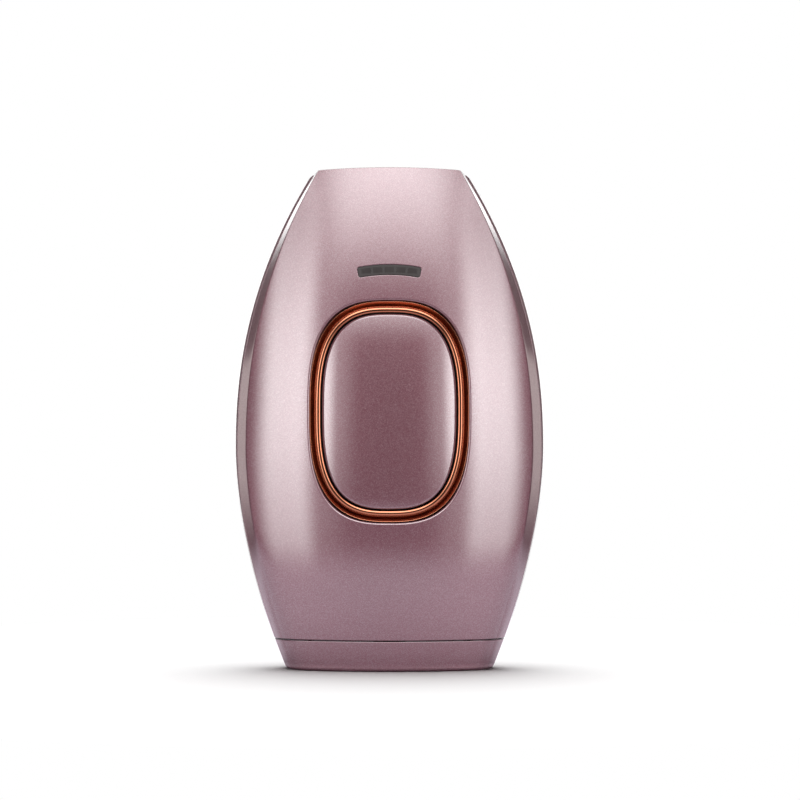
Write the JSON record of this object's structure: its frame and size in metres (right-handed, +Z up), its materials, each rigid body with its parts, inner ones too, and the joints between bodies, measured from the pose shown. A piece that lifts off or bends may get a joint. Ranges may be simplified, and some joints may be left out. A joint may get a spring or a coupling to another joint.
{
  "type": "ipl hair remover",
  "caption": "Hand-held pulsed-light hair remover: a flat shield-shaped handset with a large front button in a plated ring, a level window and a light window on top.",
  "frame": {"origin": "middle of the flat base, at the middle of the body's width and depth", "axes": "+Z up from the base to the treatment head, +X across the width, +Y from the front button to the back"},
  "size_m": [0.09, 0.0446, 0.145],
  "materials": {
    "pearl_shell": "pearl mauve paint with fine metallic flake under clear coat",
    "pearl_button": "pearl mauve paint with fine metallic flake under clear coat",
    "copper_chrome": "bright copper-coloured plating",
    "smoked_lens": "smoked translucent plastic",
    "black_plastic": "fine moulded grain",
    "dark_grey_plastic": "fine moulded grain",
    "white_plastic": "satin moulded",
    "silicone": "translucent grey silicone",
    "circuit_board": "green solder mask",
    "chip_black": "matt moulded package",
    "led_body": "clear domed package",
    "steel": "bright zinc",
    "aluminium_can": "drawn and sleeved",
    "aluminium_black": "black anodised",
    "mirror_aluminium": "polished",
    "ferrite": "sintered ferrite",
    "copper_winding": "varnished copper wire and tape",
    "filter_glass": "orange long-pass filter glass",
    "quartz": "clear quartz",
    "ceramic_white": "fired ceramic",
    "brass_contact": "nickel-flashed brass",
    "lead_red": "silicone-insulated lead",
    "lead_black": "silicone-insulated lead"
  },
  "bodies": {
    "handset": {"front_shell": "pearl_shell", "rear_shell": "pearl_shell", "base_cap": "pearl_shell", "button_ring": "copper_chrome", "front_button_guide": "black_plastic", "front_button_pads": "silicone", "front_switch": "black_plastic", "indicator_window": "smoked_lens", "indicator_leds": "led_body", "indicator_divider": "black_plastic", "main_board": "circuit_board", "control_chip": "chip_black", "board_connectors": "white_plastic", "board_screws": "steel", "flash_capacitor": "aluminium_can", "capacitor_clip": "dark_grey_plastic", "transformer_core": "ferrite", "transformer_winding": "copper_winding", "trigger_coil": "copper_winding", "power_transistor": "chip_black", "transistor_heatsink": "aluminium_black", "rear_switch": "black_plastic", "trigger_board": "circuit_board", "trigger_board_screws": "steel", "head_frame": "dark_grey_plastic", "skin_contacts": "brass_contact", "window_glass": "filter_glass", "glass_gasket": "silicone", "reflector": "mirror_aluminium", "flash_lamp": "quartz", "lamp_electrodes": "steel", "lamp_holders": "ceramic_white", "lamp_bracket": "white_plastic", "fan_frame": "black_plastic", "fan_stator": "copper_winding", "fan_screws": "steel", "dc_inlet": "black_plastic", "dc_inlet_pin": "brass_contact", "lamp_leads": "lead_red", "power_leads": "lead_black", "fan_lead": "lead_red", "case_screws": "steel", "screw_plugs": "pearl_shell", "cap_screws": "steel"},
    "front_key": {"front_button": "pearl_button"},
    "front_contact": {"front_switch_plunger": "white_plastic"},
    "rear_key": {"rear_button": "pearl_button"},
    "rear_contact": {"rear_switch_plunger": "white_plastic"},
    "fan": {"fan_rotor": "black_plastic", "fan_shaft": "steel"}
  },
  "joints": [
    {"name": "front_button_press", "type": "slide", "parent": "handset", "child": "front_key", "axis": [0, 1, 0], "range_m": [0, 0.0005], "stiffness_N_per_m": 2400, "deforming": ["front_button_pads"]},
    {"name": "front_switch_press", "type": "slide", "parent": "handset", "child": "front_contact", "axis": [0, 1, 0], "range_m": [0, 0.0005]},
    {"name": "rear_button_press", "type": "slide", "parent": "handset", "child": "rear_key", "axis": [0, -1, 0], "range_m": [0, 0.0005], "stiffness_N_per_m": 2400},
    {"name": "rear_switch_press", "type": "slide", "parent": "handset", "child": "rear_contact", "axis": [0, -1, 0], "range_m": [0, 0.0005]},
    {"name": "fan_spin", "type": "hinge", "parent": "handset", "child": "fan", "pos_m": [0, 0.0068, 0.033], "axis": [0, 1, 0], "continuous": true}
  ],
  "couplings": [
    {"joint": "front_switch_press", "follows": "front_button_press", "ratio": 1},
    {"joint": "rear_switch_press", "follows": "rear_button_press", "ratio": 1}
  ]
}
